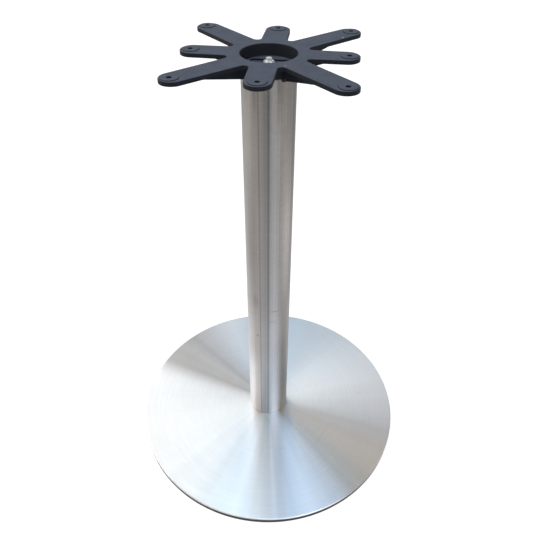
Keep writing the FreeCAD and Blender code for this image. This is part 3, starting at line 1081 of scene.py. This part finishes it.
@dataclass(frozen=True)
class SoftWindow:
    """A soft-edged rectangle of light, as far off as the sky."""

    azimuth: float                  # degrees from +X towards +Y
    elevation: float                # degrees above the floor
    half_width: float               # as a tangent from the rectangle's middle
    half_height: float
    softness: float                 # the width of its edge
    turn: float                     # round its own middle, in degrees
    colour: tuple[float, float, float]

    def glow(self, sketch: NodeSketch, direction: bpy.types.NodeSocket) -> bpy.types.NodeSocket:
        """Draw the window on the sky.

        Args:
            sketch: The world's nodes.
            direction: Where a ray goes.

        Returns:
            The window's light along that ray, as a colour.
        """
        azimuth, elevation = math.radians(self.azimuth), math.radians(self.elevation)
        middle = Vector((math.cos(azimuth) * math.cos(elevation),
                         math.sin(azimuth) * math.cos(elevation), math.sin(elevation)))
        level = Vector((-math.sin(azimuth), math.cos(azimuth), 0))
        roll = Matrix.Rotation(math.radians(self.turn), 3, middle)
        across, upright = roll @ level, roll @ middle.cross(level)
        ahead = sketch.vector_math("DOT_PRODUCT", direction, middle).outputs["Value"]
        light = sketch.math("GREATER_THAN", ahead, WINDOW_HORIZON)
        for axis, half in ((across, self.half_width), (upright, self.half_height)):
            aside = sketch.vector_math("DOT_PRODUCT", direction, axis).outputs["Value"]
            tangent = sketch.math("ABSOLUTE", sketch.math("DIVIDE", aside, ahead))
            edge = sketch.soft_step(tangent, half + self.softness / 2, half - self.softness / 2)
            light = sketch.math("MULTIPLY", light, edge)
        glow = sketch.vector_math("SCALE", self.colour)
        sketch.join(light, glow.inputs["Scale"])
        return glow.outputs["Vector"]


@dataclass(frozen=True)
class Studio:
    """The pale floor, the soft light and the camera at the photograph's place."""

    camera_place: tuple[float, float, float] = (92.45 * MM, -714.40 * MM, 977.76 * MM)
    turn: float = 0.1287            # the part's frame against the camera's, in radians
    pan: float = 0.0034
    pitch: float = 0.6956
    roll: float = 0.0038
    focal_pixels: float = 543.637
    camera_clip: tuple[float, float] = (0.01, 100.0)
    floor_size: float = 30.0
    wall_radius: float = 12.0
    wall_height: float = 3.6
    wall_sides: int = 96
    floor_colour: tuple[float, float, float] = (0.3, 0.3, 0.3)
    floor_white: float = 0.85       # what is added to the floor where it is seen
    ambient: tuple[float, float, float] = (0.101, 0.1, 0.1)
    windows: tuple[SoftWindow, ...] = (
        SoftWindow(42.6, 41.6, 0.79, 0.30, 0.02, 22.5, (0.27, 0.23, 0.23)),
        SoftWindow(177.7, 44.1, 1.59, 0.54, 0.02, -5.8, (0.28, 0.11, 0.0)),
        SoftWindow(128.1, 39.7, 0.06, 0.47, 0.06, 22.5, (2.14, 2.25, 2.29)),
        SoftWindow(-60.2, 10.8, 0.33, 0.84, 0.02, -30.9, (2.6, 2.6, 2.6)),
        SoftWindow(-149.5, 90.0, 0.92, 0.31, 0.02, -13.9, (0.17, 0.42, 0.57)),
        SoftWindow(-89.3, 85.5, 0.33, 0.12, 0.02, 27.9, (1.62, 1.63, 1.72)),
        SoftWindow(105.7, 36.3, 0.06, 0.57, 0.03, -6.3, (0.85, 0.82, 0.69)),
        SoftWindow(-159.6, 24.6, 0.14, 1.36, 0.02, 89.0, (2.51, 2.48, 2.43)),
        SoftWindow(167.7, 80.5, 0.66, 0.08, 0.14, 35.6, (2.43, 2.56, 2.43)),
        SoftWindow(-0.2, 35.3, 0.25, 1.38, 0.03, -33.1, (0.24, 0.15, 0.01)),
        SoftWindow(171.1, 24.6, 0.48, 0.16, 0.02, 4.8, (2.6, 2.6, 2.57)),
        SoftWindow(-42.0, 70.5, 0.29, 1.29, 0.02, -20.0, (0.26, 0.34, 0.56)),
    )

    def camera(self) -> bpy.types.Object:
        """The camera, at the place and angle fitted to the photograph.

        Returns:
            The scene's camera.
        """
        forward = Vector((math.sin(self.pan) * math.cos(self.pitch),
                          math.cos(self.pan) * math.cos(self.pitch), -math.sin(self.pitch)))
        level = Vector((math.cos(self.pan), -math.sin(self.pan), 0))
        upright = level.cross(forward)
        right = level * math.cos(self.roll) + upright * math.sin(self.roll)
        up = upright * math.cos(self.roll) - level * math.sin(self.roll)
        axes = Matrix((right, up, -forward)).transposed()
        pose = Matrix.Rotation(self.turn, 3, "Z") @ axes
        data = bpy.data.cameras.new("photo_camera")
        data.sensor_width = SENSOR_WIDTH
        data.sensor_fit = "HORIZONTAL"
        data.lens = self.focal_pixels * SENSOR_WIDTH / PHOTO_SIZE
        data.clip_start, data.clip_end = self.camera_clip
        camera = bpy.data.objects.new("photo_camera", data)
        bpy.context.scene.collection.objects.link(camera)
        camera.matrix_world = Matrix.Translation(self.camera_place) @ pose.to_4x4()
        bpy.context.scene.camera = camera
        return camera

    def backdrop(self) -> list[bpy.types.Object]:
        """The floor and a low round wall. The camera, metal and glass see them white, with
        the object's shadow.

        Returns:
            The floor and the wall.
        """
        deselect_all()
        bpy.ops.mesh.primitive_plane_add(size=self.floor_size, location=(0, 0, 0))
        floor = bpy.context.active_object
        floor.name = "studio_floor"
        deselect_all()
        bpy.ops.mesh.primitive_cylinder_add(
            vertices=self.wall_sides, radius=self.wall_radius, depth=self.wall_height,
            end_fill_type="NOTHING", location=(0, 0, self.wall_height / 2))
        wall = bpy.context.active_object
        wall.name = "studio_wall"
        apply_place(wall)
        material = self.white()
        for stage in (floor, wall):
            stage.data.materials.append(material)
        return [floor, wall]

    def white(self) -> bpy.types.Material:
        """The backdrop's material, pale by itself and white where it is seen.

        Returns:
            The material.
        """
        sketch = SurfaceSketch("studio_white")
        sketch.set(Base_Color=(*self.floor_colour, 1), Roughness=1.0, Specular_IOR_Level=0.0)
        rays = sketch.add("ShaderNodeLightPath")
        seen = rays.outputs["Is Camera Ray"]
        for kind in ("Is Glossy Ray", "Is Transmission Ray"):
            seen = sketch.math("MAXIMUM", seen, rays.outputs[kind])
        white = sketch.add("ShaderNodeEmission")
        sketch.join(sketch.math("MULTIPLY", seen, self.floor_white), white.inputs["Strength"])
        both = sketch.add("ShaderNodeAddShader")
        sketch.join(sketch.shader.outputs["BSDF"], both.inputs[0])
        sketch.join(white.outputs["Emission"], both.inputs[1])
        sketch.join(both.outputs["Shader"], sketch.output.inputs["Surface"])
        sketch.material.cycles.emission_sampling = "NONE"
        return sketch.material

    def room(self) -> bpy.types.World:
        """The light of a pale room with soft windows.

        Returns:
            The scene's world.
        """
        world = bpy.data.worlds.new("pale_room")
        world.use_nodes = True
        sketch = NodeSketch(world.node_tree)
        direction = sketch.add("ShaderNodeTexCoord").outputs["Generated"]
        light = self.ambient
        for window in self.windows:
            light = sketch.vector_math(
                "ADD", window.glow(sketch, direction), light).outputs["Vector"]
        background = sketch.add("ShaderNodeBackground")
        output = sketch.add("ShaderNodeOutputWorld")
        sketch.join(light, background.inputs["Color"])
        sketch.join(background.outputs["Background"], output.inputs["Surface"])
        bpy.context.scene.world = world
        return world


def main() -> None:
    """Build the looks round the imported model, and report each piece."""
    logging.basicConfig(level=logging.INFO, format="%(name)s: %(message)s")
    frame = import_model()
    nodes = frame["nodes"]

    studio = Studio()
    studio.camera()
    studio.backdrop()
    studio.room()

    foot = Foot()
    zinc_material = ZINC.material()
    pieces = [
        foot.cover(DISC_STEEL.material()),
        foot.edge_ring(RUBBER, RUBBER.material()),
        Column().tube(TUBE_STEEL.material()),
        *TieRod().build(zinc_material),
    ]
    for name in ("flange_screws", "rod_lock_nut", "top_washer", "top_nut"):
        dress(nodes[name], zinc_material)
    for name, finish in (("weight_plate", PLATE_PAINT), ("centring_flange", TURNED_STEEL),
                         ("top_spider", SPIDER_COAT)):
        dress(nodes[name], finish.material())
    for piece in pieces:
        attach(piece, "root")
        log.info("%s: %d faces", piece.name, len(piece.data.polygons))

    bpy.context.scene.view_settings.view_transform = "Standard"


if __name__ == "__main__":
    main()
